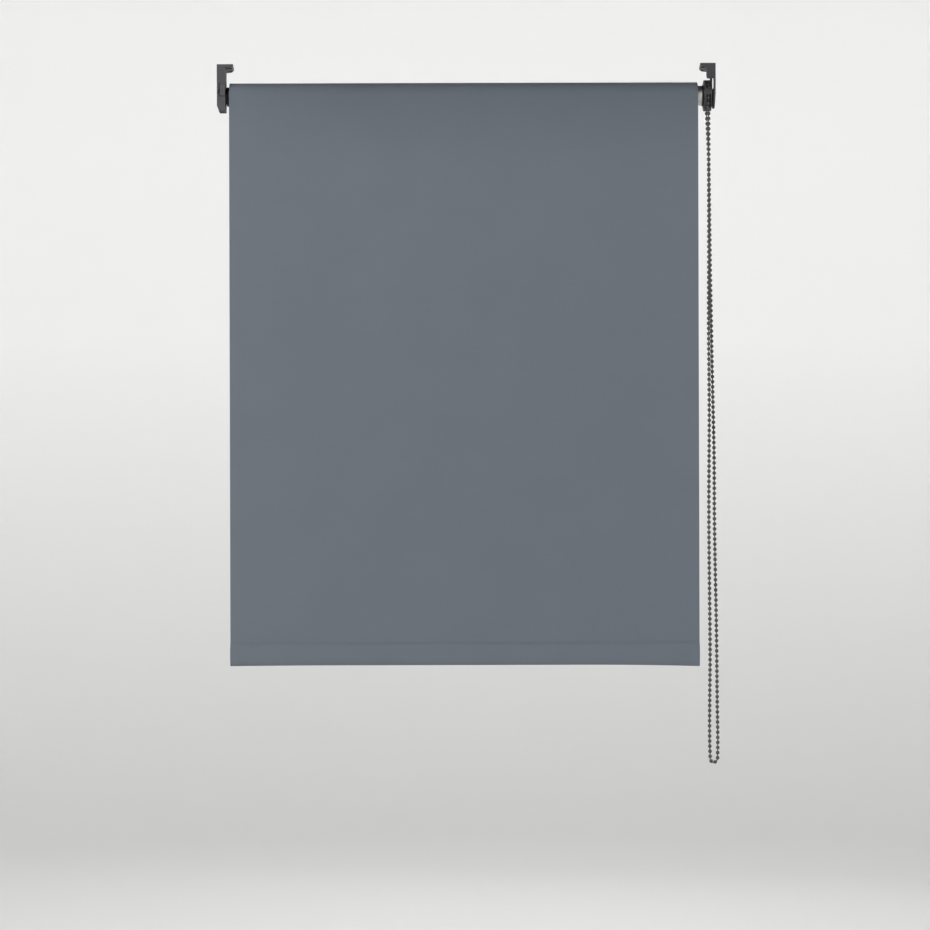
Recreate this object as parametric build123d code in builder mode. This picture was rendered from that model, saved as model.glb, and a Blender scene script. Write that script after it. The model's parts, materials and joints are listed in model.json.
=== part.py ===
from build123d import *
import os
from math import cos, pi, radians, sin

# Chain-operated roller blind for a window recess, hung from the recess ceiling by two side brackets.
# Millimetres. +Z is up, -Y is the room side, +X is the chain side.
# The origin is the centre of the four ceiling screw holes, on the brackets' top faces.

# ---- driving dimensions ----
AXIS_Z = -35.3  # roller axis below the ceiling plane

FABRIC_W = 550.0
FABRIC_T = 0.35
FABRIC_LEFT = -278.2
FABRIC_RIGHT = FABRIC_LEFT + FABRIC_W
SHEET_Y = -15.7  # mid-thickness of the hanging fabric, which leaves the front of the roll
HEM_TOP = AXIS_Z - 641.5
HEM_BOTTOM = AXIS_Z - 669.0

BRACKET_OUT = 291.9  # outer face of each bracket from the middle
BRACKET_FRONT = -21.0
BRACKET_BACK = 24.0
FLANGE_T = 3.5
FLANGE_IN_LEFT = 272.9  # inner end of each ceiling flange, at its front corner
FLANGE_IN_RIGHT = 273.8
FLANGE_SLANT = 2.8  # how much shorter the flange is at the back
FLANGE_BACK_R = 11.0  # its rounded back corner
FLANGE_BEVEL = 1.8
SCREW_X = 277.9
SCREW_Y = 12.0
SCREW_R = 2.1
SCREW_SINK_R = 3.8

TUBE_R = 11.7
TUBE_WALL = 1.0
TUBE_LEFT = -278.6
TUBE_RIGHT = 277.0
KEY_W = 1.6  # the two keys inside the tube that turn its plugs
KEY_H = 1.0
ROLL_R = 15.2
ROLL_IN_R = 11.85

PLUG_RIB_R = TUBE_R - TUBE_WALL - 0.06
PLUG_CORE_R = 9.3
PLUG_RIBS = 8

PIN_R = 2.5
PIN_SEAT_R = 2.6
PIN_BORE_R = 2.56

BEAD_D = 4.5
BEAD_PITCH = 6.0
POCKETS = 14
POCKET_PHASE = 4.8  # degrees that the front pocket stands above the axis
PITCH_R = BEAD_PITCH / 2 / sin(pi / POCKETS)
SPROCKET_X = 284.2
SPROCKET_W = 4.4
STRING_D = 1.2

GUARD_R = 18.2
GUARD_RIM_T = 1.8
GUARD_IN_X = 278.5
GUARD_OUT_X = 288.2
GUARD_GAP = 5.0  # room for the chain between the guard's walls

CORE_R = 5.0
RUN_FIT = 0.06  # radial running clearance

# ---- derived ----
roll_axis = (0.0, AXIS_Z)  # as (y, z)
tube_bore_r = TUBE_R - TUBE_WALL
guard_wall_x = SPROCKET_X - GUARD_GAP / 2
guard_cover_x = SPROCKET_X + GUARD_GAP / 2


def yz(x):
    """A sketch plane facing +X at x, whose own x and y run along Y and Z."""
    return Plane.YZ.offset(x)


def flange_outline(side, inner):
    """Corners of a ceiling flange seen from above, from its outer front corner round to its outer back one."""
    return [
        (side * BRACKET_OUT, BRACKET_FRONT),
        (side * inner, BRACKET_FRONT),
        (side * (inner + FLANGE_SLANT), BRACKET_BACK),
        (side * BRACKET_OUT, BRACKET_BACK),
    ]


def save(built, name):
    built.part.label = name
    export_step(built.part, f"parts/{name}.step")


os.makedirs("parts", exist_ok=True)

# ================= left bracket: ceiling flange, side plate and front rib =================
LEFT_PLATE_T = 2.0
LEFT_BOTTOM = AXIS_Z - 21.9  # at the front, rising a little to the rib's back
LEFT_BOTTOM_BACK = AXIS_Z - 19.9
RIB_IN = 282.1  # inner face of the front rib
RIB_BACK = -3.0
BOTTOM_R = 3.0
BOSS_R = 8.0
SIDE_HOLE_Y = 13.0
SIDE_HOLE_Z = (-11.0, -27.0)
SIDE_SINK_R = 3.2
left_plate_in = -BRACKET_OUT + LEFT_PLATE_T
seat_x = -BRACKET_OUT + 1.7
entry_z = AXIS_Z + 3.0  # middle of the pin's way in from the front

LOCK_Z = (AXIS_Z - 1.4, AXIS_Z + 15.5)
LOCK_TRAVEL = 7.5
LOCK_X = (-288.7, -282.3)
LOCK_T = 1.4
LOCK_FIT = 0.15
LOCK_GAP = 0.9  # open shadow gaps left of the slider and below it
LOCK_OPEN = 10.0  # the cuts for the slider run this far to the right, out through the rib's inner face
LOCK_SKIN = 0.8  # the rib's front skin, which the slider's upper end runs behind
SKIN_EDGE = AXIS_Z + 13.2
KEY_X = -286.2  # the slider's T-shaped key
NECK_W = 2.4
HEAD_W = 4.0
NECK_DEEP = 1.8
HEAD_T = 1.6
LAP = 0.1  # how far joined blocks reach into each other
CUT_DEEP = 4.0  # more than the skin and the slider together
pocket_floor = BRACKET_FRONT + LOCK_SKIN + LOCK_T + 2 * LOCK_FIT
lock_top = LOCK_Z[1] + LOCK_TRAVEL + 2 * LOCK_FIT

with BuildPart() as left_bracket:
    with BuildSketch(Plane.XY.offset(-FLANGE_T)):
        with BuildLine():
            Polyline(*flange_outline(-1, FLANGE_IN_LEFT), close=True)
        make_face()
        fillet(vertices().sort_by(Axis.X)[-2:].sort_by(Axis.Y)[-1], radius=FLANGE_BACK_R)
    extrude(amount=FLANGE_T)
    # the flange's inner front edge is bevelled below
    chamfer(edges().group_by(Axis.Z)[0].sort_by(Axis.X)[-1], length=FLANGE_BEVEL)
    with BuildSketch(yz(-BRACKET_OUT)):
        with BuildLine():
            Polyline(
                (BRACKET_FRONT, 0),
                (BRACKET_BACK, 0),
                (BRACKET_BACK, AXIS_Z + 6),
                (RIB_BACK, LEFT_BOTTOM_BACK),
                (BRACKET_FRONT, LEFT_BOTTOM),
                close=True,
            )
        make_face()
        fillet(vertices().group_by(Axis.Z)[0], radius=BOTTOM_R)
    extrude(amount=LEFT_PLATE_T)
    # front rib and the round boss that holds the pin
    with BuildSketch(yz(left_plate_in)):
        with BuildLine():
            Polyline(
                (BRACKET_FRONT, 0),
                (RIB_BACK, 0),
                (RIB_BACK, LEFT_BOTTOM_BACK),
                (BRACKET_FRONT, LEFT_BOTTOM),
                close=True,
            )
        make_face()
        fillet(vertices().group_by(Axis.Z)[0], radius=BOTTOM_R)
        with Locations(roll_axis):
            Circle(BOSS_R)
    extrude(amount=-RIB_IN - left_plate_in)
    # the pin comes in level from the front and drops into its seat
    with BuildSketch(yz(seat_x)):
        with Locations((BRACKET_FRONT / 2, entry_z)):
            Rectangle(-BRACKET_FRONT + 2 * PIN_SEAT_R, 2 * PIN_SEAT_R)
        with Locations((0, AXIS_Z + 1.5)):
            Rectangle(2 * PIN_SEAT_R, 3)
        with Locations(roll_axis):
            Circle(PIN_SEAT_R)
    extrude(amount=20, mode=Mode.SUBTRACT)
    # the lock slider's open window, the slot behind the skin above it, and its T groove
    window_left = LOCK_X[0] - LOCK_GAP
    lock_low = LOCK_Z[0] - LOCK_GAP
    with BuildSketch(Plane.XY.offset(lock_low)):
        with Locations((window_left, pocket_floor)):
            Rectangle(LOCK_OPEN, CUT_DEEP, align=(Align.MIN, Align.MAX))
    extrude(amount=SKIN_EDGE - lock_low, mode=Mode.SUBTRACT)
    with BuildSketch(Plane.XY.offset(lock_low)):
        with Locations((LOCK_X[0] - LOCK_FIT, pocket_floor)):
            Rectangle(LOCK_OPEN, LOCK_T + 2 * LOCK_FIT, align=(Align.MIN, Align.MAX))
        with Locations((KEY_X, pocket_floor)):
            Rectangle(NECK_W, NECK_DEEP + LAP, align=(Align.CENTER, Align.MIN))
        with Locations((KEY_X, pocket_floor + NECK_DEEP)):
            Rectangle(HEAD_W, HEAD_T, align=(Align.CENTER, Align.MIN))
    extrude(amount=lock_top - lock_low, mode=Mode.SUBTRACT)
    # the lower outer corner leans in
    with BuildSketch(Plane.XZ):
        with BuildLine():
            Polyline(
                (-BRACKET_OUT, AXIS_Z - 13.0),
                (-BRACKET_OUT - 5, AXIS_Z - 13.0),
                (-BRACKET_OUT - 5, LEFT_BOTTOM - 1),
                (-BRACKET_OUT + 3.6, LEFT_BOTTOM - 1),
                close=True,
            )
        make_face()
    extrude(amount=BRACKET_BACK + 1, both=True, mode=Mode.SUBTRACT)
    for side in (-1, 1):
        with Locations(Plane(origin=(-SCREW_X, side * SCREW_Y, -FLANGE_T), z_dir=(0, 0, -1))):
            CounterSinkHole(SCREW_R, SCREW_SINK_R, depth=FLANGE_T)
    for hole_z in SIDE_HOLE_Z:
        with Locations(Plane(origin=(left_plate_in, SIDE_HOLE_Y, hole_z), z_dir=(1, 0, 0))):
            CounterSinkHole(SCREW_R, SIDE_SINK_R, depth=LEFT_PLATE_T)
save(left_bracket, "left_bracket")

# ================= lock slider that closes the pin's way out =================
with BuildPart() as pin_lock:
    lock_back = pocket_floor - LOCK_FIT
    with BuildSketch(Plane.XY.offset(LOCK_Z[0])):
        with Locations((LOCK_X[0], lock_back)):
            Rectangle(LOCK_X[1] - LOCK_X[0], LOCK_T, align=(Align.MIN, Align.MAX))
        with Locations((KEY_X, lock_back - LAP)):
            neck_long = NECK_DEEP + 2 * LOCK_FIT + 2 * LAP
            Rectangle(NECK_W - 2 * LOCK_FIT, neck_long, align=(Align.CENTER, Align.MIN))
        with Locations((KEY_X, lock_back + NECK_DEEP + 2 * LOCK_FIT)):
            Rectangle(HEAD_W - 2 * LOCK_FIT, HEAD_T - 2 * LOCK_FIT, align=(Align.CENTER, Align.MIN))
    extrude(amount=LOCK_Z[1] - LOCK_Z[0])
    # thumb pad, level with the rib's front, short enough to stay in the window over the whole travel
    pad_top = SKIN_EDGE - LOCK_TRAVEL - LOCK_FIT
    with BuildSketch(Plane.XY.offset(LOCK_Z[0])):
        with Locations((LOCK_X[0], lock_back - LOCK_T)):
            Rectangle(LOCK_X[1] - LOCK_X[0], LOCK_SKIN + LOCK_FIT, align=(Align.MIN, Align.MAX))
    extrude(amount=pad_top - LOCK_Z[0])
save(pin_lock, "pin_lock")

# ================= right bracket: ceiling flange, side plate with cross socket =================
RIGHT_PLATE_T = 2.3
RIGHT_BOTTOM = AXIS_Z - 18.2
RIGHT_BOTTOM_BACK = AXIS_Z - 15.8
SPIGOT_ARM = 10.5
SPIGOT_W = 4.5
WINDOW_Y = (-17.2, 17.0)
WINDOW_Z = (6.8, 25.0)  # above the axis
SOCKET_FIT = 0.3  # over both sides
GUSSET_IN = 281.6
GUSSET_BOTTOM = AXIS_Z + 18.2
GUSSET_DEEP = 7.0
right_plate_in = BRACKET_OUT - RIGHT_PLATE_T

with BuildPart() as right_bracket:
    with BuildSketch(Plane.XY.offset(-FLANGE_T)):
        with BuildLine():
            Polyline(*flange_outline(1, FLANGE_IN_RIGHT), close=True)
        make_face()
        fillet(vertices().sort_by(Axis.X)[:2].sort_by(Axis.Y)[-1], radius=FLANGE_BACK_R)
    extrude(amount=FLANGE_T)
    chamfer(edges().group_by(Axis.Z)[0].sort_by(Axis.X)[0], length=FLANGE_BEVEL)
    with BuildSketch(yz(right_plate_in)):
        with BuildLine():
            Polyline(
                (BRACKET_FRONT, 0),
                (BRACKET_BACK, 0),
                (BRACKET_BACK, AXIS_Z + 6),
                (RIB_BACK, RIGHT_BOTTOM_BACK),
                (BRACKET_FRONT, RIGHT_BOTTOM),
                close=True,
            )
        make_face()
        fillet(vertices().group_by(Axis.Z)[0], radius=BOTTOM_R)
        with Locations(roll_axis):
            Rectangle(SPIGOT_ARM + SOCKET_FIT, SPIGOT_W + SOCKET_FIT, mode=Mode.SUBTRACT)
            Rectangle(SPIGOT_W + SOCKET_FIT, SPIGOT_ARM + SOCKET_FIT, mode=Mode.SUBTRACT)
        # window above the socket
        with Locations((sum(WINDOW_Y) / 2, AXIS_Z + sum(WINDOW_Z) / 2)):
            RectangleRounded(WINDOW_Y[1] - WINDOW_Y[0], WINDOW_Z[1] - WINDOW_Z[0], 2, mode=Mode.SUBTRACT)
    extrude(amount=RIGHT_PLATE_T)
    # gusset block in the corner
    with BuildSketch(Plane.XZ.offset(-BRACKET_FRONT)):
        with BuildLine():
            Polyline(
                (right_plate_in, -FLANGE_T),
                (right_plate_in, GUSSET_BOTTOM),
                (GUSSET_IN + 1.0, GUSSET_BOTTOM),
                (GUSSET_IN, GUSSET_BOTTOM + 2.5),
                (GUSSET_IN, -FLANGE_T),
                close=True,
            )
        make_face()
    extrude(amount=-GUSSET_DEEP)
    # the lower half of the outer face leans in
    with BuildSketch(Plane.XZ):
        with BuildLine():
            Polyline(
                (BRACKET_OUT, AXIS_Z),
                (BRACKET_OUT + 5, AXIS_Z),
                (BRACKET_OUT + 5, RIGHT_BOTTOM - 1),
                (BRACKET_OUT - 1.4, RIGHT_BOTTOM - 1),
                close=True,
            )
        make_face()
    extrude(amount=BRACKET_BACK + 1, both=True, mode=Mode.SUBTRACT)
    for side in (-1, 1):
        with Locations(Plane(origin=(SCREW_X, side * SCREW_Y, -FLANGE_T), z_dir=(0, 0, -1))):
            CounterSinkHole(SCREW_R, SCREW_SINK_R, depth=FLANGE_T)
save(right_bracket, "right_bracket")

# ================= idle end: plug, sprung pin and its spring =================
PLUG_FLANGE = (-281.7, -278.8)
PLUG_FLANGE_R = 11.3
PLUG_END = -246.0
BORE = (-275.0, -250.2)
BORE_R = 4.4
COLLAR_T = 2.0
COLLAR_R = 4.25
PIN_TIP = -289.6
PIN_TAIL = -258.0
PIN_TRAVEL = 7.0

with BuildPart() as idle_plug:
    with BuildSketch(yz(PLUG_FLANGE[0])):
        with Locations(roll_axis):
            Circle(PLUG_FLANGE_R)
    extrude(amount=PLUG_FLANGE[1] - PLUG_FLANGE[0])
    with BuildSketch(yz(PLUG_FLANGE[1])):
        with Locations(roll_axis):
            Circle(PLUG_CORE_R)
        with Locations(roll_axis):
            with PolarLocations(PLUG_CORE_R, PLUG_RIBS, start_angle=180 / PLUG_RIBS):
                Rectangle(2 * (PLUG_RIB_R - PLUG_CORE_R), KEY_W)
    extrude(amount=PLUG_END - PLUG_FLANGE[1])
    with BuildSketch(yz(BORE[0])):
        with Locations(roll_axis):
            Circle(BORE_R)
    extrude(amount=BORE[1] - BORE[0], mode=Mode.SUBTRACT)
    with BuildSketch(yz(PLUG_FLANGE[0])):
        with Locations(roll_axis):
            Circle(PIN_BORE_R)
    extrude(amount=BORE[0] - PLUG_FLANGE[0], mode=Mode.SUBTRACT)
save(idle_plug, "idle_plug")

with BuildPart() as idle_pin:
    with BuildSketch(yz(PIN_TIP)):
        with Locations(roll_axis):
            Circle(PIN_R)
    extrude(amount=PIN_TAIL - PIN_TIP)
    chamfer(faces().sort_by(Axis.X)[0].edges(), length=0.6)
    with BuildSketch(yz(BORE[0] + 0.1)):
        with Locations(roll_axis):
            Circle(COLLAR_R)
    extrude(amount=COLLAR_T)
save(idle_pin, "idle_pin")

IDLE_WIRE = 0.7
IDLE_COIL_R = 3.5
idle_spring_x = (BORE[0] + 0.1 + COLLAR_T + IDLE_WIRE / 2, BORE[1] - IDLE_WIRE / 2)
with BuildPart() as idle_spring:
    with BuildLine() as coil:
        Helix(
            pitch=2.75,
            height=idle_spring_x[1] - idle_spring_x[0] - 0.05,
            radius=IDLE_COIL_R,
            center=(idle_spring_x[0], 0, AXIS_Z),
            direction=(1, 0, 0),
        )
    with BuildSketch(Plane(origin=coil.line @ 0, z_dir=coil.line % 0)):
        Circle(IDLE_WIRE / 2)
    sweep(path=coil.line, is_frenet=True)
save(idle_spring, "idle_spring")

# ================= roller: keyed tube, adhesive strip and wound fabric =================
with BuildPart() as roller_tube:
    with BuildSketch(yz(TUBE_LEFT)):
        with Locations(roll_axis):
            Circle(TUBE_R)
            Circle(tube_bore_r, mode=Mode.SUBTRACT)
            with PolarLocations(tube_bore_r, 2):
                Rectangle(2 * KEY_H, KEY_W)
    extrude(amount=TUBE_RIGHT - TUBE_LEFT)
save(roller_tube, "roller_tube")

STRIP_T = 0.12
with BuildPart() as adhesive_strip:
    with BuildSketch(yz(FABRIC_LEFT + 2)):
        with Locations(roll_axis):
            Circle(TUBE_R + STRIP_T)
            Circle(TUBE_R, mode=Mode.SUBTRACT)
        with BuildLine():
            Polyline((0, AXIS_Z), (-10, AXIS_Z + 20), (10, AXIS_Z + 20), close=True)
        make_face(mode=Mode.INTERSECT)
    extrude(amount=FABRIC_W - 4)
save(adhesive_strip, "adhesive_strip")

with BuildPart() as fabric_roll:
    with BuildSketch(yz(FABRIC_LEFT)):
        with Locations(roll_axis):
            Circle(ROLL_R)
            Circle(ROLL_IN_R, mode=Mode.SUBTRACT)
    extrude(amount=FABRIC_W)
save(fabric_roll, "fabric_roll")

with BuildPart() as fabric_drop:
    with BuildSketch(yz(FABRIC_LEFT)):
        with Locations((SHEET_Y, (AXIS_Z + HEM_TOP) / 2)):
            Rectangle(FABRIC_T, AXIS_Z - HEM_TOP)
    extrude(amount=FABRIC_W)
save(fabric_drop, "fabric_drop")

# ================= bottom bar in its fabric pocket =================
BAR_HALF_H = 12.6
BAR_HALF_T = 4.1
BAR_WALL = 1.0
POCKET_GAP = 0.03
CAP_T = 1.1
CAP_DEEP = 12.0
CAP_FIT = 0.08
CAP_RECESS = 0.5  # the caps' outer faces lie this far inside the fabric's edges
bar_left = FABRIC_LEFT + CAP_RECESS + CAP_T
bar_right = FABRIC_RIGHT - CAP_RECESS - CAP_T
bar_z = HEM_BOTTOM + BAR_HALF_H + POCKET_GAP + FABRIC_T
bar_centre = (SHEET_Y, bar_z)

with BuildPart() as bottom_bar:
    with BuildSketch(yz(bar_left)):
        with Locations(bar_centre):
            Ellipse(BAR_HALF_T, BAR_HALF_H)
            Ellipse(BAR_HALF_T - BAR_WALL, BAR_HALF_H - BAR_WALL, mode=Mode.SUBTRACT)
    extrude(amount=bar_right - bar_left)
save(bottom_bar, "bottom_bar")

with BuildPart() as fabric_hem:
    with BuildSketch(yz(FABRIC_LEFT)):
        with Locations(bar_centre):
            Ellipse(BAR_HALF_T + POCKET_GAP + FABRIC_T, BAR_HALF_H + POCKET_GAP + FABRIC_T)
        with Locations((SHEET_Y, HEM_TOP - 1.5)):
            Rectangle(2 * FABRIC_T, 3.0)
        with Locations(bar_centre):
            Ellipse(BAR_HALF_T + POCKET_GAP, BAR_HALF_H + POCKET_GAP, mode=Mode.SUBTRACT)
    extrude(amount=FABRIC_W)
save(fabric_hem, "fabric_hem")

for cap_name, cap_x, inward in (("bar_cap_left", bar_left, 1), ("bar_cap_right", bar_right, -1)):
    with BuildPart() as bar_cap:
        with BuildSketch(yz(cap_x)):
            with Locations(bar_centre):
                Ellipse(BAR_HALF_T, BAR_HALF_H)
        extrude(amount=-inward * CAP_T)
        cap_inner = BAR_WALL + CAP_FIT
        with BuildSketch(yz(cap_x)):
            with Locations(bar_centre):
                Ellipse(BAR_HALF_T - cap_inner, BAR_HALF_H - cap_inner)
                Ellipse(BAR_HALF_T - cap_inner - 1.0, BAR_HALF_H - cap_inner - 1.0, mode=Mode.SUBTRACT)
        extrude(amount=inward * CAP_DEEP)
    save(bar_cap, cap_name)

# ================= chain clutch =================
CORE_END = 244.6
BASE_R = 8.5
SPIGOT_END = BRACKET_OUT - 0.3
CORE_BORE_R = 1.3

with BuildPart() as clutch_core:
    with BuildSketch(yz(CORE_END)):
        with Locations(roll_axis):
            Circle(CORE_R)
    extrude(amount=guard_cover_x - CORE_END)
    with BuildSketch(yz(guard_cover_x)):
        with Locations(roll_axis):
            Circle(BASE_R)
    extrude(amount=GUARD_OUT_X - guard_cover_x)
    with BuildSketch(yz(GUARD_OUT_X)):
        with Locations(roll_axis):
            Rectangle(SPIGOT_ARM, SPIGOT_W)
            Rectangle(SPIGOT_W, SPIGOT_ARM)
    extrude(amount=SPIGOT_END - GUARD_OUT_X)
    with BuildSketch(yz(CORE_END)):
        with Locations(roll_axis):
            Circle(CORE_BORE_R)
    extrude(amount=16, mode=Mode.SUBTRACT)
save(clutch_core, "clutch_core")

HUB_R = 8.0
HUB_END = 273.0
SPROCKET_R = 14.0
POCKET_R = BEAD_D / 2 + 0.15
with BuildPart() as chain_sprocket:
    with BuildSketch(yz(SPROCKET_X - SPROCKET_W / 2)):
        with Locations(roll_axis):
            Circle(SPROCKET_R)
    extrude(amount=SPROCKET_W)
    with BuildSketch(yz(HUB_END)):
        with Locations(roll_axis):
            Circle(HUB_R)
    extrude(amount=SPROCKET_X - HUB_END)
    # one spherical pocket for each bead, and a groove for the string between them
    with Locations(Plane(origin=(SPROCKET_X, 0, AXIS_Z), x_dir=(0, 1, 0), z_dir=(1, 0, 0))):
        with PolarLocations(PITCH_R, POCKETS, start_angle=180 - POCKET_PHASE):
            Sphere(POCKET_R, mode=Mode.SUBTRACT)
    with BuildSketch(yz(SPROCKET_X - 0.9)):
        with Locations(roll_axis):
            Circle(SPROCKET_R + 1)
            Circle(PITCH_R - 0.9, mode=Mode.SUBTRACT)
    extrude(amount=1.8, mode=Mode.SUBTRACT)
    with BuildSketch(yz(HUB_END)):
        with Locations(roll_axis):
            Circle(CORE_R + RUN_FIT)
    extrude(amount=20, mode=Mode.SUBTRACT)
save(chain_sprocket, "chain_sprocket")

ADAPTER_FLANGE = (TUBE_RIGHT, 278.1)
ADAPTER_FLANGE_R = 11.9
ADAPTER_END = 245.0
SPRING_ROOM = (250.0, HUB_END)
SPRING_ROOM_R = 6.5
with BuildPart() as drive_adapter:
    with BuildSketch(yz(ADAPTER_FLANGE[0])):
        with Locations(roll_axis):
            Circle(ADAPTER_FLANGE_R)
    extrude(amount=ADAPTER_FLANGE[1] - ADAPTER_FLANGE[0])
    with BuildSketch(yz(ADAPTER_END)):
        with Locations(roll_axis):
            Circle(PLUG_CORE_R)
        with Locations(roll_axis):
            with PolarLocations(PLUG_CORE_R, PLUG_RIBS, start_angle=180 / PLUG_RIBS):
                Rectangle(2 * (PLUG_RIB_R - PLUG_CORE_R), KEY_W)
    extrude(amount=ADAPTER_FLANGE[0] - ADAPTER_END)
    with BuildSketch(yz(HUB_END)):
        with Locations(roll_axis):
            Circle(HUB_R + 0.02)
    extrude(amount=10, mode=Mode.SUBTRACT)
    with BuildSketch(yz(SPRING_ROOM[0])):
        with Locations(roll_axis):
            Circle(SPRING_ROOM_R)
    extrude(amount=SPRING_ROOM[1] - SPRING_ROOM[0], mode=Mode.SUBTRACT)
    with BuildSketch(yz(ADAPTER_END)):
        with Locations(roll_axis):
            Circle(CORE_R + RUN_FIT)
    extrude(amount=SPRING_ROOM[0] - ADAPTER_END, mode=Mode.SUBTRACT)
save(drive_adapter, "drive_adapter")

WRAP_WIRE = 0.8
WRAP_PITCH = 0.9
WRAP_H = 8.1
wrap_r = CORE_R + RUN_FIT + WRAP_WIRE / 2
with BuildPart() as wrap_springs:
    for wrap_x in (251.5, 262.5):
        with BuildLine() as wrap:
            Helix(
                pitch=WRAP_PITCH,
                height=WRAP_H,
                radius=wrap_r,
                center=(wrap_x, 0, AXIS_Z),
                direction=(1, 0, 0),
            )
        with BuildSketch(Plane(origin=wrap.line @ 0, z_dir=wrap.line % 0)):
            Circle(WRAP_WIRE / 2)
        sweep(path=wrap.line, is_frenet=True)
save(wrap_springs, "wrap_springs")

WASHER_T = 0.8
with BuildPart() as clutch_washer:
    with BuildSketch(yz(CORE_END - WASHER_T)):
        with Locations(roll_axis):
            Circle(7.0)
            Circle(1.6, mode=Mode.SUBTRACT)
    extrude(amount=WASHER_T)
save(clutch_washer, "clutch_washer")

with BuildPart() as clutch_screw:
    with BuildSketch(yz(CORE_END - WASHER_T)):
        with Locations(roll_axis):
            Circle(1.25)
    extrude(amount=14)
    with BuildSketch(yz(CORE_END - WASHER_T)):
        with Locations(roll_axis):
            Circle(2.8)
    extrude(amount=-2.0)
    chamfer(faces().sort_by(Axis.X)[0].edges(), length=0.6)
    # cross recess
    with BuildSketch(yz(CORE_END - WASHER_T - 2.0)):
        with Locations(roll_axis):
            Rectangle(2.6, 0.7)
            Rectangle(0.7, 2.6)
    extrude(amount=1.1, mode=Mode.SUBTRACT)
save(clutch_screw, "clutch_screw")

# ================= chain guard: a drum that is open below where each strand leaves =================
RIM_LOW = 3.0  # how far the rim runs below the axis, in degrees
FOOT_HALF = 25.0  # half angle of the rim piece between the strands
SIGHT = (18.0, 60.0)  # the opening above the front strand, in degrees above the axis
GUARD_CONE_R = 12.3  # outside this radius the inner wall slopes back to the rim
GUARD_CONE = 1.2


def wedge(low, high, reach):
    """Corners of a triangle from the roller axis that spans two angles in the YZ plane."""
    return [
        (0, AXIS_Z),
        (reach * cos(radians(low)), AXIS_Z + reach * sin(radians(low))),
        (reach * cos(radians(high)), AXIS_Z + reach * sin(radians(high))),
    ]


with BuildPart() as guard_inner:
    with BuildSketch(yz(GUARD_IN_X)):
        with Locations(roll_axis):
            Circle(GUARD_R)
            Circle(HUB_R + 0.3, mode=Mode.SUBTRACT)
    extrude(amount=guard_wall_x - GUARD_IN_X)
    rim = faces().filter_by(GeomType.CYLINDER).sort_by(SortBy.AREA)[-1]
    rim_edge = rim.edges().sort_by(Axis.X)[0]
    chamfer(rim_edge, length=GUARD_CONE, length2=GUARD_R - GUARD_CONE_R, reference=rim)
    with BuildSketch(yz(guard_wall_x)):
        with Locations(roll_axis):
            Circle(GUARD_R)
            Circle(GUARD_R - GUARD_RIM_T, mode=Mode.SUBTRACT)
        for low, high in (
            (180 + RIM_LOW, 270 - FOOT_HALF),
            (270 + FOOT_HALF, 360 - RIM_LOW),
            (180 - SIGHT[1], 180 - SIGHT[0]),
        ):
            with BuildLine():
                Polyline(*wedge(low, high, 30), close=True)
            make_face(mode=Mode.SUBTRACT)
    extrude(amount=GUARD_GAP)
save(guard_inner, "guard_inner")

LIP_T = 0.45
LIP_DEEP = 2.0
with BuildPart() as guard_outer:
    with BuildSketch(yz(guard_cover_x)):
        with Locations(roll_axis):
            Circle(GUARD_R)
            Circle(BASE_R + 0.1, mode=Mode.SUBTRACT)
    extrude(amount=GUARD_OUT_X - guard_cover_x)
    lip_out = GUARD_R - GUARD_RIM_T - 0.05
    with BuildSketch(yz(guard_cover_x)):
        with Locations(roll_axis):
            Circle(lip_out)
            Circle(lip_out - LIP_T, mode=Mode.SUBTRACT)
        with BuildLine():
            Polyline((-30, AXIS_Z), (30, AXIS_Z), (30, AXIS_Z + 30), (-30, AXIS_Z + 30), close=True)
        make_face(mode=Mode.INTERSECT)
    extrude(amount=-LIP_DEEP)
save(guard_outer, "guard_outer")

# ================= ball chain: an endless loop, as a plain tube of the beads' width =================
CHAIN_TOP = -9.2  # below the axis, where the loose chain starts
front_strand = [
    (284.2, -PITCH_R, CHAIN_TOP),
    (284.4, -12.6, -55),
    (284.5, -11.4, -108),
    (284.6, -9.9, -160),
    (284.5, -8.4, -213),
    (284.2, -6.9, -268),
    (284.7, -5.9, -325),
    (285.1, -5.1, -379),
    (284.6, -4.4, -433),
    (284.2, -4.0, -490),
    (284.5, -3.6, -545),
    (285.1, -3.3, -602),
    (285.5, -3.0, -657),
    (284.9, -2.8, -705),
    (284.5, -2.6, -742),
    (284.7, -2.4, -764),
    (285.2, -2.2, -777),
]
loop_bottom = [(285.3, -2.1, -783.6), (289.9, 0.0, -786.5), (294.4, 2.1, -783.4)]
back_strand = [
    (294.5, 2.2, -776),
    (294.8, 2.4, -763),
    (294.6, 2.7, -741),
    (294.1, 3.0, -704),
    (293.9, 3.3, -655),
    (293.2, 3.6, -600),
    (292.2, 4.0, -546),
    (291.6, 4.6, -490),
    (291.8, 5.2, -434),
    (290.9, 6.0, -378),
    (289.7, 6.9, -322),
    (289.0, 8.0, -268),
    (288.1, 9.2, -212),
    (287.6, 10.5, -158),
    (287.3, 11.8, -106),
    (286.6, 12.8, -55),
    (284.2, PITCH_R, CHAIN_TOP),
]
chain_route = [Vector(x, y, AXIS_Z + z) for x, y, z in front_strand + loop_bottom + back_strand]


def bend_radii(points):
    """0.45 of the shorter run at each corner, divided by the tangent of half its turn."""
    radii = []
    for before, corner, after in zip(points, points[1:], points[2:]):
        run_in = corner - before
        run_out = after - corner
        half_turn = radians(run_in.get_angle(run_out)) / 2
        radii.append(0.45 * min(run_in.length, run_out.length) * cos(half_turn) / sin(half_turn))
    return radii


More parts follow.
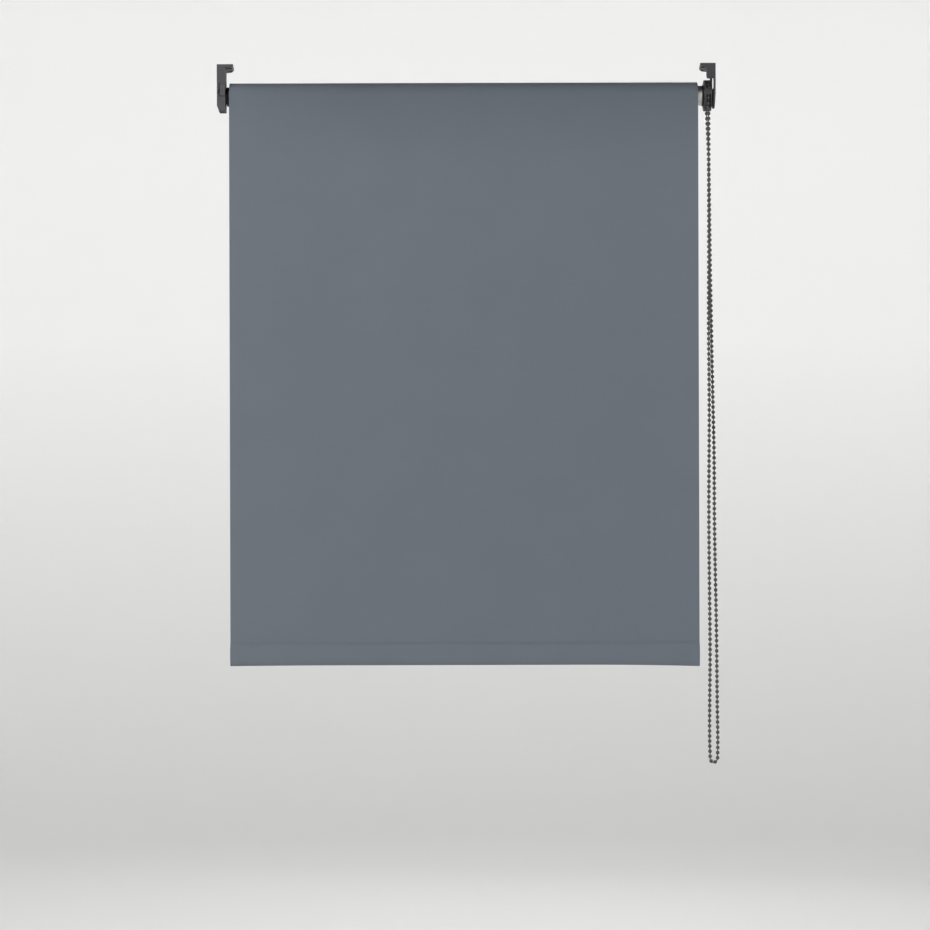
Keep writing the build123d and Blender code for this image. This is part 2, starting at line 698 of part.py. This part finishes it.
chain_radii = bend_radii(chain_route)
with BuildPart() as ball_chain:
    with BuildLine() as chain_path:
        FilletPolyline(*chain_route, radius=chain_radii)
    with BuildSketch(Plane(origin=chain_path.line @ 0, z_dir=chain_path.line % 0)):
        Circle(BEAD_D / 2)
    sweep(path=chain_path.line)
save(ball_chain, "ball_chain")
chain_length = chain_path.wire().length
tube_volume = pi * (BEAD_D / 2) ** 2 * chain_length
print("chain bend radii:", [round(r, 1) for r in chain_radii])
print("chain length:", round(chain_length, 1))
print("chain volume over section times length:", round(ball_chain.part.volume / tube_volume, 4))

# the chain's string where it runs over the sprocket
with BuildPart() as chain_over_sprocket:
    with BuildLine() as over:
        up = Line((SPROCKET_X, -PITCH_R, AXIS_Z + CHAIN_TOP), (SPROCKET_X, -PITCH_R, AXIS_Z))
        ThreePointArc(up @ 1, (SPROCKET_X, 0, AXIS_Z + PITCH_R), (SPROCKET_X, PITCH_R, AXIS_Z))
        Line((SPROCKET_X, PITCH_R, AXIS_Z), (SPROCKET_X, PITCH_R, AXIS_Z + CHAIN_TOP))
    with BuildSketch(Plane(origin=over.line @ 0, z_dir=over.line % 0)):
        Circle(STRING_D / 2)
    sweep(path=over.line)
save(chain_over_sprocket, "chain_over_sprocket")
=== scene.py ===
"""A chain-operated roller blind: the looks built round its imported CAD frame. Metres throughout."""

import json
import math
import random

import bpy
from mathutils import Matrix, Vector, noise


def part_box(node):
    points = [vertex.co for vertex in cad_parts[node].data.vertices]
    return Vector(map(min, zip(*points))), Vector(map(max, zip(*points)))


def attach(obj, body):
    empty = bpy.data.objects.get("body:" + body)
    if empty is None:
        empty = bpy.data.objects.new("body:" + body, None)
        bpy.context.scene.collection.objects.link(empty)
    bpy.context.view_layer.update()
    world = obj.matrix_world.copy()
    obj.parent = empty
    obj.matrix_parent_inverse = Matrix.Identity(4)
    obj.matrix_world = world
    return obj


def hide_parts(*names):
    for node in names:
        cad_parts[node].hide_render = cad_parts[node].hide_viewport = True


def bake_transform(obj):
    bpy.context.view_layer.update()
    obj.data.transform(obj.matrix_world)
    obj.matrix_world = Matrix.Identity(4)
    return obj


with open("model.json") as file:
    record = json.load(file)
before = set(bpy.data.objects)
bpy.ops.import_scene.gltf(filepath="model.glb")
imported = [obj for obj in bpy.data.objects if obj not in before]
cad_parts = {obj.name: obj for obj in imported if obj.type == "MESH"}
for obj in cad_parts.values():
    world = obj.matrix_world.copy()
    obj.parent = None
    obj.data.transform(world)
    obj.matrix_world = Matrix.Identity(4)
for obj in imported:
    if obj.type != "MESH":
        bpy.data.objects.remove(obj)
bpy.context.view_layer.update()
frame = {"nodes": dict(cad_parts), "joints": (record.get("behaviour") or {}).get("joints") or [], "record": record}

MM = 0.001

# ---- sizes read from the frame ----
joints = {j["name"]: j for j in frame["joints"]}
axis_z = joints["roller_turn"]["pos_m"][2]
roll_low, roll_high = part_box("fabric_roll")
drop_low, drop_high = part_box("fabric_drop")
bar_low, bar_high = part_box("bottom_bar")
tube_low, tube_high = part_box("roller_tube")
fabric_left, fabric_right = roll_low.x, roll_high.x
fabric_t = drop_high.y - drop_low.y
sheet_y = (drop_low.y + drop_high.y) / 2
hem_top = drop_low.z
tube_r = (tube_high.z - tube_low.z) / 2


# ================= camera =================
EYE_DISTANCE = 2.8  # in front of the roller axis
EYE_BELOW_AXIS = 0.4345
EYE_X = -0.00265
LENS_PER_SENSOR = 2.553656  # focal length over sensor width
TILT = math.radians(0.155)

camera_data = bpy.data.cameras.new("camera")
camera_data.sensor_width = 36
camera_data.lens = camera_data.sensor_width * LENS_PER_SENSOR
camera = bpy.data.objects.new("camera", camera_data)
bpy.context.collection.objects.link(camera)
level = Matrix.Translation((EYE_X, -EYE_DISTANCE, axis_z - EYE_BELOW_AXIS)) @ Matrix.Rotation(
    math.pi / 2, 4, "X"
)
camera.matrix_world = level @ Matrix.Rotation(-TILT, 4, "Z")
bpy.context.scene.camera = camera


# ================= mesh helpers =================
def make_object(name, verts, faces):
    """A smooth-shaded mesh object at the origin, linked to the scene."""
    mesh = bpy.data.meshes.new(name)
    mesh.from_pydata([tuple(v) for v in verts], [], faces)
    mesh.validate()
    mesh.polygons.foreach_set("use_smooth", [True] * len(mesh.polygons))
    made = bpy.data.objects.new(name, mesh)
    bpy.context.collection.objects.link(made)
    return made


def mark_sharp(piece, degrees):
    """Smooth shading that breaks at edges sharper than an angle."""
    bpy.context.view_layer.objects.active = piece
    piece.select_set(True)
    bpy.ops.object.shade_smooth_by_angle(angle=math.radians(degrees))
    piece.select_set(False)


def ribbon(name, line, thickness, stations, shift=None):
    """A strip of cloth: a line of (y, z) points with a thickness, carried along X through the stations.

    shift(index, station) gives a small move of each point, for edges that aren't perfectly even."""
    normals = []
    for i in range(len(line)):
        before = line[max(i - 1, 0)]
        after = line[min(i + 1, len(line) - 1)]
        along = (after - before).normalized()
        normals.append(Vector((-along.y, along.x)))
    verts = []
    for i, (point, normal) in enumerate(zip(line, normals)):
        for side in (0.5, -0.5):
            y, z = point + normal * thickness * side
            for s, x in enumerate(stations):
                moved = Vector((x, y, z))
                verts.append(moved + shift(i, s) if shift else moved)
    n = len(stations)

    def at(i, side, s):
        return (2 * i + side) * n + s

    faces = []
    for i in range(len(line) - 1):
        for s in range(n - 1):
            faces.append((at(i, 0, s), at(i + 1, 0, s), at(i + 1, 0, s + 1), at(i, 0, s + 1)))
            faces.append((at(i, 1, s), at(i, 1, s + 1), at(i + 1, 1, s + 1), at(i + 1, 1, s)))
        faces.append((at(i, 0, 0), at(i, 1, 0), at(i + 1, 1, 0), at(i + 1, 0, 0)))
        faces.append((at(i, 0, n - 1), at(i + 1, 0, n - 1), at(i + 1, 1, n - 1), at(i, 1, n - 1)))
    last = len(line) - 1
    for s in range(n - 1):
        faces.append((at(0, 0, s), at(0, 0, s + 1), at(0, 1, s + 1), at(0, 1, s)))
        faces.append((at(last, 0, s), at(last, 1, s), at(last, 1, s + 1), at(last, 0, s + 1)))
    return make_object(name, verts, faces)


def even(low, high, count):
    """count numbers evenly spaced from low to high."""
    return [low + (high - low) * i / (count - 1) for i in range(count)]


# ================= ball chain =================
PITCH = 6.0 * MM
POCKETS = 14
PITCH_R = PITCH / 2 / math.sin(math.pi / POCKETS)
BEAD_R = 2.25 * MM
STRING_R = 0.55 * MM
SPROCKET_X = 284.2 * MM
CHAIN_TOP = -9.2 * MM
CHAIN_PHASE = 1.13 * MM  # how far a bead on the front strand stands above the roller axis

# the chain's route in millimetres: x, y, and z from the roller axis
front_strand = [
    (284.2, -PITCH_R / MM, -9.2),
    (284.4, -12.6, -55),
    (284.5, -11.4, -108),
    (284.6, -9.9, -160),
    (284.5, -8.4, -213),
    (284.2, -6.9, -268),
    (284.7, -5.9, -325),
    (285.1, -5.1, -379),
    (284.6, -4.4, -433),
    (284.2, -4.0, -490),
    (284.5, -3.6, -545),
    (285.1, -3.3, -602),
    (285.5, -3.0, -657),
    (284.9, -2.8, -705),
    (284.5, -2.6, -742),
    (284.7, -2.4, -764),
    (285.2, -2.2, -777),
]
loop_bottom = [(285.3, -2.1, -783.6), (289.9, 0.0, -786.5), (294.4, 2.1, -783.4)]
back_strand = [
    (294.5, 2.2, -776),
    (294.8, 2.4, -763),
    (294.6, 2.7, -741),
    (294.1, 3.0, -704),
    (293.9, 3.3, -655),
    (293.2, 3.6, -600),
    (292.2, 4.0, -546),
    (291.6, 4.6, -490),
    (291.8, 5.2, -434),
    (290.9, 6.0, -378),
    (289.7, 6.9, -322),
    (289.0, 8.0, -268),
    (288.1, 9.2, -212),
    (287.6, 10.5, -158),
    (287.3, 11.8, -106),
    (286.6, 12.8, -55),
    (284.2, PITCH_R / MM, -9.2),
]
chain_route = [
    Vector((x * MM, y * MM, axis_z + z * MM)) for x, y, z in front_strand + loop_bottom + back_strand
]


def smooth_line(name, points):
    """Points along the NURBS curve that has these control points, without any repeated point."""
    data = bpy.data.curves.new(name, "CURVE")
    data.dimensions = "3D"
    data.resolution_u = 16
    spline = data.splines.new("NURBS")
    spline.points.add(len(points) - 1)
    for control, point in zip(spline.points, points):
        control.co = (*point, 1.0)
    spline.order_u = 3
    spline.use_endpoint_u = True
    held = bpy.data.objects.new(name, data)
    mesh = bpy.data.meshes.new_from_object(held)
    line = []
    for vertex in mesh.vertices:
        if not line or (vertex.co - line[-1]).length > 0.01 * MM:
            line.append(vertex.co.copy())
    bpy.data.meshes.remove(mesh)
    bpy.data.objects.remove(held)
    bpy.data.curves.remove(data)
    return line


def length_of(line):
    """The length of a line of points."""
    return sum((b - a).length for a, b in zip(line, line[1:]))


def walk(line, distances):
    """(point, direction) at each distance along a line, the distances in rising order."""
    found, i, gone = [], 0, 0.0
    for wanted in distances:
        step = (line[i + 1] - line[i]).length
        while gone + step < wanted and i < len(line) - 2:
            gone += step
            i += 1
            step = (line[i + 1] - line[i]).length
        along = (line[i + 1] - line[i]).normalized()
        found.append((line[i] + along * (wanted - gone), along))
    return found


def bead_profile():
    """(distance along the string, radius) down a bead's side: a ball with a short collar at each end."""
    collar_r = 0.85 * MM
    half = BEAD_R + 0.28 * MM
    points = [(-half, STRING_R), (-half, collar_r)]
    for i in range(11):
        turn = math.pi * (i + 1) / 12
        points.append((-BEAD_R * math.cos(turn), max(BEAD_R * math.sin(turn), collar_r)))
    points += [(half, collar_r), (half, STRING_R)]
    return points


def tube_rings(line, radius, sides):
    """Vertices and faces of a tube of one radius round a line."""
    verts, faces = [], []
    across = Vector((1, 0, 0))
    for i, point in enumerate(line):
        along = (line[min(i + 1, len(line) - 1)] - line[max(i - 1, 0)]).normalized()
        across = (across - along * across.dot(along)).normalized()
        up = along.cross(across)
        for k in range(sides):
            turn = math.tau * k / sides
            verts.append(point + (across * math.cos(turn) + up * math.sin(turn)) * radius)
    for i in range(len(line) - 1):
        for k in range(sides):
            m = (k + 1) % sides
            a, b = i * sides, (i + 1) * sides
            faces.append((a + k, a + m, b + m, b + k))
    return verts, faces


def add_bead(verts, faces, point, along, spin, sides=16):
    """One bead threaded at a point, turned about the string by spin."""
    across = along.orthogonal().normalized()
    up = along.cross(across)
    profile = bead_profile()
    first = len(verts)
    for distance, radius in profile:
        for k in range(sides):
            turn = math.tau * k / sides + spin
            verts.append(
                point + along * distance + (across * math.cos(turn) + up * math.sin(turn)) * radius
            )
    for i in range(len(profile) - 1):
        for k in range(sides):
            m = (k + 1) % sides
            a, b = first + i * sides, first + (i + 1) * sides
            faces.append((a + k, a + m, b + m, b + k))


def beads_on_string(name, line, seats):
    """String and beads as one mesh."""
    verts, faces = tube_rings(line, STRING_R, 8)
    for point, along in seats:
        add_bead(verts, faces, point, along, random.uniform(0, math.tau))
    return make_object(name, verts, faces)


random.seed(11)
free_line = smooth_line("chain_route", chain_route)
free_length = length_of(free_line)
leg = -CHAIN_TOP
gaps = round((free_length + 2 * leg) / PITCH)
spacing = (free_length + 2 * leg) / gaps
bead_places = [spacing * i - CHAIN_PHASE - leg for i in range(gaps + 1)]
free_seats = walk(free_line, [place for place in bead_places if 0 <= place <= free_length])
chain = beads_on_string("ball_chain_beads", free_line, free_seats)
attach(chain, "root")
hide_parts("ball_chain")

over_line = [Vector((SPROCKET_X, -PITCH_R, axis_z + CHAIN_TOP))]
over_line += [
    Vector((SPROCKET_X, -PITCH_R * math.cos(t), axis_z + PITCH_R * math.sin(t)))
    for t in even(0, math.pi, 41)
]
over_line.append(Vector((SPROCKET_X, PITCH_R, axis_z + CHAIN_TOP)))
over_seats = []
for k in range(POCKETS // 2):
    turn = math.tau * k / POCKETS + CHAIN_PHASE / PITCH_R
    over_seats.append(
        (
            Vector((SPROCKET_X, -PITCH_R * math.cos(turn), axis_z + PITCH_R * math.sin(turn))),
            Vector((0, math.sin(turn), math.cos(turn))),
        )
    )
for side, below in ((-1, spacing - CHAIN_PHASE), (1, CHAIN_PHASE), (1, CHAIN_PHASE + spacing)):
    over_seats.append((Vector((SPROCKET_X, side * PITCH_R, axis_z - below)), Vector((0, 0, 1))))
over = beads_on_string("chain_over_sprocket_beads", over_line, over_seats)
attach(over, "root")
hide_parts("chain_over_sprocket")


# ================= fabric =================
WRAP_R = -sheet_y  # mid-thickness of the outermost turn
SHEET_FILL = 0.98  # the cloth's thickness as a share of the CAD's, so that the turns stay apart
SPIRAL_FILL = 0.94
SEAM_DEEP = 1.0 * MM
WRAP_END = math.radians(352)
TURN_STEP = math.radians(5)
INNER_R = tube_r + 0.12 * MM + fabric_t / 2


def wound(start, end):
    """Points of the fabric's spiral between two angles back from where it leaves the roll."""
    steps = max(2, round((end - start) / TURN_STEP) + 1)
    line = []
    for back in even(start, end, steps):
        radius = WRAP_R - fabric_t * back / math.tau
        line.append(Vector((-radius * math.cos(back), axis_z + radius * math.sin(back))))
    return line


# the outermost turn and the hanging sheet are one piece, with no rows between roll and hem
sheet_line = list(reversed(wound(0, WRAP_END))) + [Vector((sheet_y, hem_top))]
sheet = ribbon("fabric_sheet", sheet_line, fabric_t * SHEET_FILL, [fabric_left, fabric_right])
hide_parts("fabric_drop")
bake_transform(sheet)

spiral_end = math.tau * (WRAP_R - INNER_R) / fabric_t
EDGE_WANDER = 0.25 * MM


def telescoped(i, s):
    """The turns don't lie quite flush at the roll's ends."""
    wander = EDGE_WANDER * noise.noise(Vector((i * TURN_STEP / math.tau * 1.7, 3.1 * s, 0)))
    return Vector((wander, 0, 0))


spiral = ribbon(
    "wound_fabric",
    wound(WRAP_END, spiral_end),
    fabric_t * SPIRAL_FILL,
    [fabric_left, fabric_right],
    telescoped,
)
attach(spiral, "roller")
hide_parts("fabric_roll")

# ---- hem pocket round the bottom bar ----
bar_mid = (bar_low + bar_high) / 2
pocket_half_t = (bar_high.y - bar_low.y) / 2 + 0.03 * MM + fabric_t / 2
pocket_half_h = (bar_high.z - bar_low.z) / 2 + 0.03 * MM + fabric_t / 2
seam_up = hem_top - bar_mid.z
touch = math.asin(pocket_half_h / seam_up)  # where the flanks leave the oval, as an angle up it


def hem_line():
    """The pocket's cross-section, from the seam down the front, round the bar and up the back."""
    line = [
        Vector((sheet_y - fabric_t / 2, hem_top)),
        Vector((sheet_y - fabric_t / 2, hem_top - SEAM_DEEP)),
    ]
    for turn in even(touch, -touch - math.pi, 73):
        line.append(
            Vector(
                (
                    sheet_y - pocket_half_t * math.cos(turn),
                    bar_mid.z + pocket_half_h * math.sin(turn),
                )
            )
        )
    line.append(Vector((sheet_y + fabric_t / 2, hem_top - SEAM_DEEP)))
    line.append(Vector((sheet_y + fabric_t / 2, hem_top)))
    return line


hem_points = hem_line()
hem_stations = even(fabric_left, fabric_right, 45)
DROOP_LEFT = 0.6 * MM
DROOP_RIGHT = 2.0 * MM
DROOP_REACH = 0.13


def drooped(i, s):
    """The pocket's lower half sags off the bar towards its two ends."""
    from_left = max(0.0, 1 - (hem_stations[s] - fabric_left) / DROOP_REACH)
    from_right = max(0.0, 1 - (fabric_right - hem_stations[s]) / DROOP_REACH)
    sag = DROOP_LEFT * from_left**2 + DROOP_RIGHT * from_right**2
    depth = max(0.0, (bar_mid.z - hem_points[i].y) / pocket_half_h)
    return Vector((0, 0, -sag * depth))


hem = ribbon("hem_pocket", hem_points, fabric_t, hem_stations, drooped)
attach(hem, "bottom_bar")
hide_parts("fabric_hem")


# ================= materials =================
class Nodes:
    """A short way to build a material's node tree."""

    def __init__(self, name):
        self.material = bpy.data.materials.new(name)
        self.material.use_nodes = True
        self.tree = self.material.node_tree
        self.shader = self.tree.nodes["Principled BSDF"]
        self.place = self.add("ShaderNodeTexCoord").outputs["Object"]

    def add(self, kind, **settings):
        made = self.tree.nodes.new(kind)
        for key, value in settings.items():
            setattr(made, key, value)
        return made

    def put(self, socket, value):
        """Links a socket, or sets a plain value."""
        if isinstance(value, bpy.types.NodeSocket):
            self.tree.links.new(value, socket)
        else:
            socket.default_value = value

    def math(self, operation, a, b=0.0, c=0.0):
        made = self.add("ShaderNodeMath", operation=operation)
        for socket, value in zip(made.inputs, (a, b, c)):
            self.put(socket, value)
        return made.outputs[0]

    def scaled(self, scale):
        made = self.add("ShaderNodeMapping")
        self.put(made.inputs["Vector"], self.place)
        made.inputs["Scale"].default_value = scale
        return made.outputs[0]

    def noise(self, scale, detail=2.0, rough=0.5, place=None):
        made = self.add("ShaderNodeTexNoise")
        self.put(made.inputs["Vector"], place or self.place)
        made.inputs["Scale"].default_value = scale
        made.inputs["Detail"].default_value = detail
        made.inputs["Roughness"].default_value = rough
        return made.outputs["Fac"]

    def span(self, value, low, high, to_low, to_high):
        made = self.add("ShaderNodeMapRange")
        for socket, given in zip(made.inputs, (value, low, high, to_low, to_high)):
            self.put(socket, given)
        return made.outputs[0]

    def mix(self, factor, a, b):
        made = self.add("ShaderNodeMix", data_type="RGBA")
        self.put(made.inputs["Factor"], factor)
        self.put(made.inputs[6], a)
        self.put(made.inputs[7], b)
        return made.outputs[2]

    def bump(self, height, distance, strength=1.0, under=None):
        made = self.add("ShaderNodeBump")
        made.inputs["Strength"].default_value = strength
        made.inputs["Distance"].default_value = distance
        self.put(made.inputs["Height"], height)
        if under:
            self.put(made.inputs["Normal"], under)
        return made.outputs["Normal"]

    def set(self, **values):
        for name, value in values.items():
            self.put(self.shader.inputs[name.replace("_", " ")], value)
        return self.material


def colour(r, g, b):
    return (r, g, b, 1.0)


def fabric_material():
    """Close plain weave of slate-grey yarn: fine relief, slubs along both yarns, and a faint mottle."""
    n = Nodes("blind_fabric")
    split = n.add("ShaderNodeSeparateXYZ")
    n.put(split.inputs[0], n.place)
    yarn = 0.42 * MM
    warp = n.math("MULTIPLY", split.outputs["X"], math.pi / yarn)
    # height along the cloth runs round the roll as well as down, so both Y and Z count
    down = n.math("ADD", split.outputs["Z"], split.outputs["Y"])
    weft = n.math("MULTIPLY", down, math.pi / yarn)
    over = n.math("MULTIPLY", n.math("SINE", warp), n.math("SINE", weft))
    ribs = n.math("ABSOLUTE", over)
    slub_down = n.noise(1.0, 3.0, 0.6, n.scaled((1500, 60, 40)))
    slub_across = n.noise(1.0, 3.0, 0.6, n.scaled((35, 1400, 1400)))
    mottle = n.noise(14.0, 3.0, 0.55)
    wash = n.noise(2.2, 2.0, 0.5)
    tone = n.math("ADD", n.math("MULTIPLY", slub_down, 0.5), n.math("MULTIPLY", slub_across, 0.5))
    tone = n.math("ADD", n.math("MULTIPLY", tone, 0.55), n.math("MULTIPLY", mottle, 0.3))
    tone = n.math("ADD", tone, n.math("MULTIPLY", wash, 0.15))
    shade = n.span(tone, 0.3, 0.7, 0.0, 1.0)
    yarn_colour = n.mix(shade, colour(0.128, 0.148, 0.174), colour(0.142, 0.163, 0.190))
    height = n.math("ADD", n.math("MULTIPLY", ribs, 0.5), n.math("MULTIPLY", slub_across, 0.3))
    height = n.math("ADD", height, n.math("MULTIPLY", slub_down, 0.3))
    relief = n.bump(height, 0.06 * MM, 0.6)
    relief = n.bump(wash, 1.2 * MM, 0.25, relief)
    return n.set(
        Base_Color=yarn_colour,
        Roughness=0.88,
        Specular_IOR_Level=0.25,
        Sheen_Weight=0.12,
        Sheen_Roughness=0.5,
        Normal=relief,
    )


def plastic(name, base, rough, grain=0.0004, depth=0.02, fleck=0.12):
    """Moulded plastic: a fine eroded grain, slight colour drift, and softly rubbed edges."""
    n = Nodes(name)
    fine = n.noise(1.0 / grain, 4.0, 0.6)
    drift = n.noise(45.0, 3.0, 0.5)
    light = tuple(min(1.0, c * (1 + fleck) + 0.002) for c in base)
    dark = tuple(c * (1 - fleck) for c in base)
    body = n.mix(n.span(drift, 0.3, 0.7, 0.0, 1.0), colour(*dark), colour(*light))
    edge = n.add("ShaderNodeNewGeometry").outputs["Pointiness"]
    rubbed = n.span(edge, 0.53, 0.6, 0.0, 0.35)
    worn = tuple(min(1.0, c * 1.7 + 0.01) for c in base)
    return n.set(
        Base_Color=n.mix(rubbed, body, colour(*worn)),
        Roughness=n.span(fine, 0.2, 0.8, rough - 0.06, rough + 0.06),
        Specular_IOR_Level=0.45,
        Normal=n.bump(fine, depth * MM, 0.5),
    )


def metal(name, base, rough, stretch):
    """Drawn or extruded metal: fine lines along the stretch direction, and a soft tarnish."""
    n = Nodes(name)
    lines = n.noise(1.0, 4.0, 0.65, n.scaled(stretch))
    stain = n.noise(60.0, 3.0, 0.5)
    dull = tuple(c * 0.82 for c in base)
    return n.set(
        Base_Color=n.mix(n.span(stain, 0.35, 0.75, 0.0, 1.0), colour(*base), colour(*dull)),
        Metallic=1.0,
        Roughness=n.span(lines, 0.25, 0.75, rough - 0.07, rough + 0.09),
        Normal=n.bump(lines, 0.02 * MM, 0.35),
    )


materials = {
    "blind_fabric": fabric_material(),
    "bracket_plastic": plastic("bracket_plastic", (0.034, 0.034, 0.039), 0.55),
    "lock_plastic": plastic("lock_plastic", (0.033, 0.033, 0.038), 0.52),
    "black_plastic": plastic("black_plastic", (0.008, 0.008, 0.011), 0.5),
    "guard_plastic": plastic("guard_plastic", (0.033, 0.034, 0.035), 0.5),
    "cap_plastic": plastic("cap_plastic", (0.085, 0.090, 0.098), 0.5),
    "chain_plastic": plastic("chain_plastic", (0.062, 0.060, 0.060), 0.3, grain=0.0009, depth=0.006),
    "tape": plastic("tape", (0.6, 0.58, 0.5), 0.6),
    "pin_steel": metal("pin_steel", (0.62, 0.61, 0.60), 0.3, (40, 2500, 2500)),
    "spring_steel": metal("spring_steel", (0.42, 0.42, 0.43), 0.33, (900, 900, 900)),
    "zinc_steel": metal("zinc_steel", (0.68, 0.69, 0.72), 0.34, (1500, 1500, 1500)),
    "tube_aluminium": metal("tube_aluminium", (0.66, 0.67, 0.64), 0.36, (12, 2600, 2600)),
    "bar_aluminium": metal("bar_aluminium", (0.78, 0.78, 0.77), 0.38, (12, 2600, 2600)),
}


def dress(piece, material):
    piece.data.materials.clear()
    piece.data.materials.append(material)


for row in frame["record"]["subparts"]:
    dress(frame["nodes"][row["node"]], materials[row["material_slot"]])
for piece in (sheet, spiral, hem):
    dress(piece, materials["blind_fabric"])
    mark_sharp(piece, 40)
for piece in (chain, over):
    dress(piece, materials["chain_plastic"])

# soft edges on the moulded parts
for name, width in (
    ("left_bracket", 0.45),
    ("right_bracket", 0.45),
    ("pin_lock", 0.25),
    ("guard_inner", 0.3),
    ("guard_outer", 0.2),
    ("bar_cap_left", 0.3),
    ("bar_cap_right", 0.3),
    ("idle_plug", 0.25),
    ("drive_adapter", 0.25),
    ("clutch_core", 0.25),
):
    soften = frame["nodes"][name].modifiers.new("soft_edges", "BEVEL")
    soften.width = width * MM
    soften.segments = 2
    soften.limit_method = "ANGLE"
    soften.angle_limit = math.radians(35)
    soften.harden_normals = True


# ================= stage and light =================
FLOOR_Z = axis_z - 1.65
DOME_R = 7.5
DOME_CURVE = 2.5
DOME_H = 5.0


def dome_profile():
    """(radius, height) from the floor's middle out, up a wide curve, and up the wall."""
    points = [(0.0, 0.0), (DOME_R - DOME_CURVE, 0.0)]
    for turn in even(0, math.pi / 2, 15)[1:]:
        points.append(
            (
                DOME_R - DOME_CURVE + DOME_CURVE * math.sin(turn),
                DOME_CURVE - DOME_CURVE * math.cos(turn),
            )
        )
    points.append((DOME_R, DOME_H))
    return points


def make_dome(sides=72):
    """A round floor that curves up into a wall all round."""
    profile = dome_profile()
    verts = [(0, 0, FLOOR_Z)]
    for radius, height in profile[1:]:
        for k in range(sides):
            turn = math.tau * k / sides
            verts.append((radius * math.cos(turn), radius * math.sin(turn), FLOOR_Z + height))
    faces = [(0, 1 + k, 1 + (k + 1) % sides) for k in range(sides)]
    for ring in range(len(profile) - 2):
        a, b = 1 + ring * sides, 1 + (ring + 1) * sides
        faces += [(a + k, b + k, b + (k + 1) % sides, a + (k + 1) % sides) for k in range(sides)]
    return make_object("backdrop", verts, faces)


def backdrop_material():
    """White wall paint that darkens to light grey down the curve to the floor."""
    n = Nodes("backdrop_paint")
    split = n.add("ShaderNodeSeparateXYZ")
    n.put(split.inputs[0], n.place)
    height = n.span(split.outputs["Z"], FLOOR_Z, FLOOR_Z + DOME_CURVE * 0.7, 0.0, 1.0)
    drift = n.span(n.noise(0.6, 2.0), 0.3, 0.7, -0.01, 0.01)
    floor_to_wall = n.math("ADD", height, drift)
    return n.set(
        Base_Color=n.mix(floor_to_wall, colour(0.60, 0.60, 0.595), colour(0.84, 0.84, 0.835)),
        Roughness=0.95,
    )


backdrop = make_dome()
dress(backdrop, backdrop_material())


def area_light(name, place, aim, size, power, tint=(1, 1, 1)):
    data = bpy.data.lights.new(name, "AREA")
    data.shape = "RECTANGLE"
    data.size, data.size_y = size
    data.energy = power
    data.color = tint
    lamp = bpy.data.objects.new(name, data)
    bpy.context.collection.objects.link(lamp)
    lamp.location = place
    lamp.rotation_euler = (Vector(aim) - Vector(place)).to_track_quat("-Z", "Y").to_euler()
    lamp.visible_camera = False
    return lamp


middle = (0, 0, axis_z - 0.35)
area_light("key", (-1.9, -3.9, 1.5), middle, (2.0, 2.0), 150)
area_light("fill", (2.6, -3.9, -0.1), middle, (2.0, 1.6), 12)
area_light("back", (0.6, 4.2, -0.1), middle, (2.4, 1.0), 12)

# a black card over the blind, unseen by the camera, shades it as the top of a window recess would
CARD_HALF_X = 0.40
CARD_FRONT = -0.42
CARD_BACK = 0.20
CARD_Z = 0.17
card = make_object(
    "shade_card",
    [
        (-CARD_HALF_X, CARD_FRONT, CARD_Z),
        (CARD_HALF_X, CARD_FRONT, CARD_Z),
        (CARD_HALF_X, CARD_BACK, CARD_Z),
        (-CARD_HALF_X, CARD_BACK, CARD_Z),
    ],
    [(0, 1, 2, 3)],
)
card_paint = Nodes("card_paint")
dress(card, card_paint.set(Base_Color=colour(0.02, 0.02, 0.02), Roughness=0.9))
card.visible_camera = False

# lights over the object's head that face outwards and wash the wall, strongest behind the blind
WASH_COUNT = 6
WASH_R = 1.6
WASH_H = FLOOR_Z + DOME_H - 0.6
WASH_BEHIND = 130
WASH_ROOM = 66  # weaker on the room side, so that the key light still shapes the cloth
for k in range(WASH_COUNT):
    turn = math.tau * (k + 0.5) / WASH_COUNT
    away = Vector((math.cos(turn), math.sin(turn), 0))
    area_light(
        f"wash_{k}",
        away * WASH_R + Vector((0, 0, WASH_H)),
        away * DOME_R + Vector((0, 0, axis_z - 0.5)),
        (1.6, 0.8),
        WASH_BEHIND if away.y > 0 else WASH_ROOM,
    )
world = bpy.data.worlds.new("sky")
world.use_nodes = True
world.node_tree.nodes["Background"].inputs["Color"].default_value = (0.92, 0.95, 1.0, 1)
world.node_tree.nodes["Background"].inputs["Strength"].default_value = 0.03
bpy.context.scene.world = world
bpy.context.scene.view_settings.view_transform = "Standard"

bpy.context.view_layer.update()
